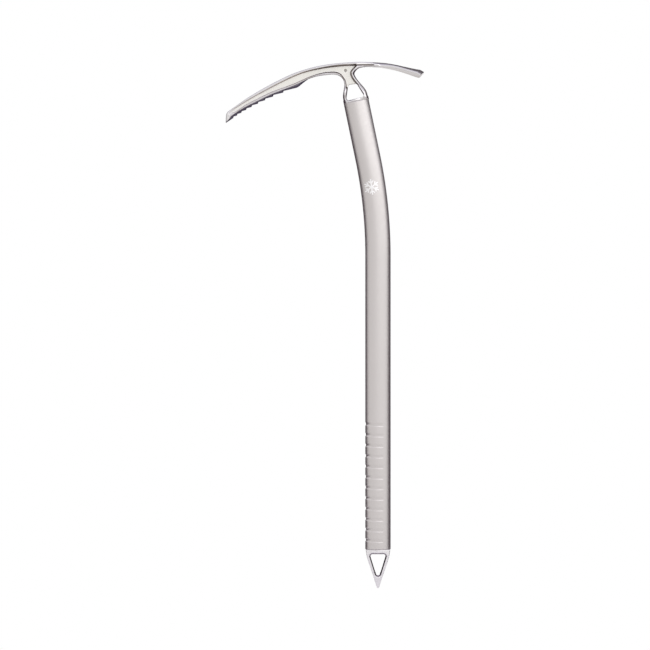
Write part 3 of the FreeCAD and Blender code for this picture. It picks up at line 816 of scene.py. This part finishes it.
def cast_steel():
    """Polished stainless casting of the head: matte recesses with an orange peel, teeth coloured near
    black, painted shade on the recess walls, in the crease and the dimple, and a painted dark reflection
    along the crown.
    """
    material, tree, shader = new_material("polished_casting")
    shader.inputs["Metallic"].default_value = 1.0
    cloud = noise(tree, 90, 3)
    recess = attribute(tree, "recess")
    teeth = attribute(tree, "teeth")
    polished = mix_colour(tree, cloud, (0.76, 0.75, 0.76), (0.82, 0.81, 0.82))
    matte = mix_colour(tree, cloud, (0.87, 0.865, 0.82), (0.91, 0.905, 0.86))
    colour = mix_colour(tree, recess, polished, matte)
    # painted shade: tan-brown tint on the recess walls under the flanges
    colour = mix_colour(tree, attribute(tree, "wall_shade"), colour, (0.40, 0.32, 0.25))
    colour = mix_colour(tree, attribute(tree, "shade"), colour, (0.13, 0.10, 0.09))
    # painted reflection: dark band along the crown where the adze leaves the head
    colour = mix_colour(tree, attribute(tree, "crown"), colour, (0.17, 0.155, 0.18))
    colour = mix_colour(tree, teeth, colour, (0.10, 0.085, 0.13))
    tree.links.new(colour, shader.inputs["Base Color"])
    gloss = to_range(tree, noise(tree, 400, 3), 0.3, 0.7, 0.12, 0.20)
    gloss = mix_number(tree, recess, gloss, 0.55)
    gloss = mix_number(tree, teeth, gloss, 0.42)
    tree.links.new(gloss, shader.inputs["Roughness"])
    height = mix_number(tree, recess, 0.5, noise(tree, 900, 3))
    tree.links.new(bump(tree, height, 0.15, 0.0002), shader.inputs["Normal"])
    return material


def satin_steel():
    """Tumbled stainless casting of the spike."""
    material, tree, shader = new_material("satin_casting")
    shader.inputs["Metallic"].default_value = 1.0
    cloud = noise(tree, 120, 3)
    colour = mix_colour(tree, cloud, (0.96, 0.955, 0.965), (1.0, 0.995, 1.0))
    # painted reflection: dark tint on the bevel round the spike's hole
    colour = mix_colour(tree, attribute(tree, "bevel"), colour, (0.30, 0.26, 0.30))
    tree.links.new(colour, shader.inputs["Base Color"])
    tree.links.new(to_range(tree, cloud, 0.3, 0.7, 0.24, 0.32), shader.inputs["Roughness"])
    return material


def anodised_tube():
    """Bead-blasted, clear-anodised aluminium with a fine grain."""
    material, tree, shader = new_material("anodised_aluminium")
    shader.inputs["Metallic"].default_value = 1.0
    cloud = noise(tree, 30, 3)
    colour = mix_colour(tree, cloud, (0.68, 0.652, 0.645), (0.72, 0.692, 0.685))
    tree.links.new(colour, shader.inputs["Base Color"])
    tree.links.new(to_range(tree, noise(tree, 300, 3), 0.3, 0.7, 0.36, 0.42), shader.inputs["Roughness"])
    grain = noise(tree, 3500, 3, 0.6)
    tree.links.new(bump(tree, grain, 0.18, 0.00008), shader.inputs["Normal"])
    return material


def print_white():
    """Pearly white pad print."""
    material, tree, shader = new_material("white_print")
    shader.inputs["Metallic"].default_value = 1.0
    grain = noise(tree, 1500, 2)
    colour = mix_colour(tree, grain, (0.97, 0.97, 0.98), (1.0, 1.0, 1.0))
    tree.links.new(colour, shader.inputs["Base Color"])
    shader.inputs["Roughness"].default_value = 0.5
    return material


def mottled(name, light, dark, roughness, scale):
    """Plain rigid stuff with a fine mottle, for the hidden adhesive and foam."""
    material, tree, shader = new_material(name)
    cells = noise(tree, scale, 5, 0.6)
    tree.links.new(mix_colour(tree, cells, dark, light), shader.inputs["Base Color"])
    shader.inputs["Roughness"].default_value = roughness
    tree.links.new(bump(tree, cells, 0.4, 0.0002), shader.inputs["Normal"])
    return material


def dress(piece, material):
    """Gives a piece its one material."""
    piece.data.materials.clear()
    piece.data.materials.append(material)


# ---------------------------------------------------------------- stage

def build_stage():
    """A round pale floor below the point, just too small to reach into the front view."""
    angles = np.linspace(0, 2 * math.pi, 128, False)
    ring = [(FLOOR_RADIUS * math.cos(a), FLOOR_RADIUS * math.sin(a), FLOOR_HEIGHT) for a in angles]
    floor_mesh = bpy.data.meshes.new("floor")
    floor_mesh.from_pydata(ring, [], [tuple(range(len(ring)))])
    floor = bpy.data.objects.new("floor", floor_mesh)
    bpy.context.scene.collection.objects.link(floor)
    material, _, shader = new_material("pale_floor")
    shader.inputs["Base Color"].default_value = (0.90, 0.89, 0.88, 1)
    shader.inputs["Roughness"].default_value = 0.9
    dress(floor, material)


def sky_colour(tree, parts):
    """Light of the bright front: a ramp by height, a little dimmer on the pick's side."""
    ramp = tree.nodes.new("ShaderNodeValToRGB")
    stops = ramp.color_ramp.elements
    stops[0].color = (*SKY_STOPS[0][1], 1)
    stops[1].color = (*SKY_STOPS[-1][1], 1)
    for position, colour in SKY_STOPS[1:-1]:
        stops.new(position).color = (*colour, 1)
    tree.links.new(to_range(tree, parts.outputs["Z"], -1, 1, 0, 1), ramp.inputs["Fac"])
    across = to_range(tree, parts.outputs["X"], -1, 1, 0, 1)
    tint = mix_colour(tree, across, (0.94, 0.935, 0.93), (1.07, 1.07, 1.065))
    return mix_colour(tree, None, ramp.outputs["Color"], tint, "MULTIPLY")


def front_share(tree, parts):
    """1 in the bright front, which wraps over the top and under the point, and 0 in the dim back."""
    side = tree.nodes.new("ShaderNodeMath")
    side.operation = "ABSOLUTE"
    tree.links.new(parts.outputs["X"], side.inputs[0])
    above = to_range(tree, parts.outputs["Z"], 0.0, 1.0, 0.0, 1.15)
    downward = combine(tree, "ADD", parts.outputs["Z"], side.outputs[0])
    below = to_range(tree, downward, 0.0, -1.0, 0.0, 12.0)
    reach = combine(tree, "ADD", above, below)
    depth = combine(tree, "SUBTRACT", parts.outputs["Y"], reach)
    lean = to_range(tree, parts.outputs["X"], 0.0, 1.0, 0.0, 0.22)
    depth = combine(tree, "ADD", depth, lean)
    return to_range(tree, depth, 0.10, -0.22, 0.0, 1.0)


def build_world():
    """White to the camera; for light, a broad white front and a dim back that darkens the edges."""
    world = bpy.data.worlds.new("studio")
    bpy.context.scene.world = world
    world.use_nodes = True
    tree = world.node_tree
    place = tree.nodes.new("ShaderNodeTexCoord")
    parts = tree.nodes.new("ShaderNodeSeparateXYZ")
    tree.links.new(place.outputs["Generated"], parts.inputs[0])
    lift = to_range(tree, parts.outputs["Z"], 0.0, 0.35, 0.0, 1.0)
    dim = mix_colour(tree, lift, (0.048, 0.029, 0.040), (0.13, 0.115, 0.125))
    light = mix_colour(tree, front_share(tree, parts), dim, sky_colour(tree, parts))
    path = tree.nodes.new("ShaderNodeLightPath")
    seen = mix_colour(tree, path.outputs["Is Camera Ray"], light, (1.0, 1.0, 1.0))
    tree.links.new(seen, tree.nodes["Background"].inputs["Color"])


def add_area_light(name, place, target, size, power):
    """A rectangular lamp at a place, turned to its target."""
    light = bpy.data.lights.new(name, "AREA")
    light.energy = power
    light.shape = "RECTANGLE"
    light.size = size[0]
    light.size_y = size[1]
    lamp = bpy.data.objects.new(name, light)
    bpy.context.scene.collection.objects.link(lamp)
    lamp.location = place
    direction = mathutils.Vector(target) - mathutils.Vector(place)
    lamp.rotation_euler = direction.to_track_quat("-Z", "Y").to_euler()


def build_camera():
    """A long lens that looks along +Y at the middle of the axe."""
    camera_data = bpy.data.cameras.new("camera")
    camera = bpy.data.objects.new("camera", camera_data)
    bpy.context.scene.collection.objects.link(camera)
    camera_data.sensor_width = SENSOR_WIDTH
    camera_data.lens = SENSOR_WIDTH * VIEW_DISTANCE / VIEW_WIDTH
    camera_data.clip_end = 100
    camera.location = (VIEW_CENTRE[0], -VIEW_DISTANCE, VIEW_CENTRE[1])
    camera.rotation_euler = (math.pi / 2, 0, 0)
    bpy.context.scene.camera = camera


# ---------------------------------------------------------------- assembly

build_camera()
build_stage()
build_world()
bpy.context.scene.view_settings.view_transform = "Standard"

head = build_head()
shaft = build_shaft()
spike = build_spike()
dress(head, cast_steel())
dress(spike, satin_steel())
dress(shaft, anodised_tube())
crystal = build_crystal()
dress(crystal, print_white())
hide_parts("head")
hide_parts("shaft")
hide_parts("spike")

adhesive = mottled("cured_adhesive", (0.12, 0.12, 0.14), (0.07, 0.07, 0.08), 0.5, 900)
foam = mottled("closed_cell_foam", (0.80, 0.78, 0.72), (0.60, 0.58, 0.52), 0.85, 1400)
for node, material in (("head_bond", adhesive), ("spike_bond", adhesive),
                       ("upper_foam_plug", foam), ("lower_foam_plug", foam)):
    dress(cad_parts[node], material)

add_area_light("key", (0.85, -1.35, 1.12), (-0.02, 0, 0.60), (2.6, 1.2), 5.6)
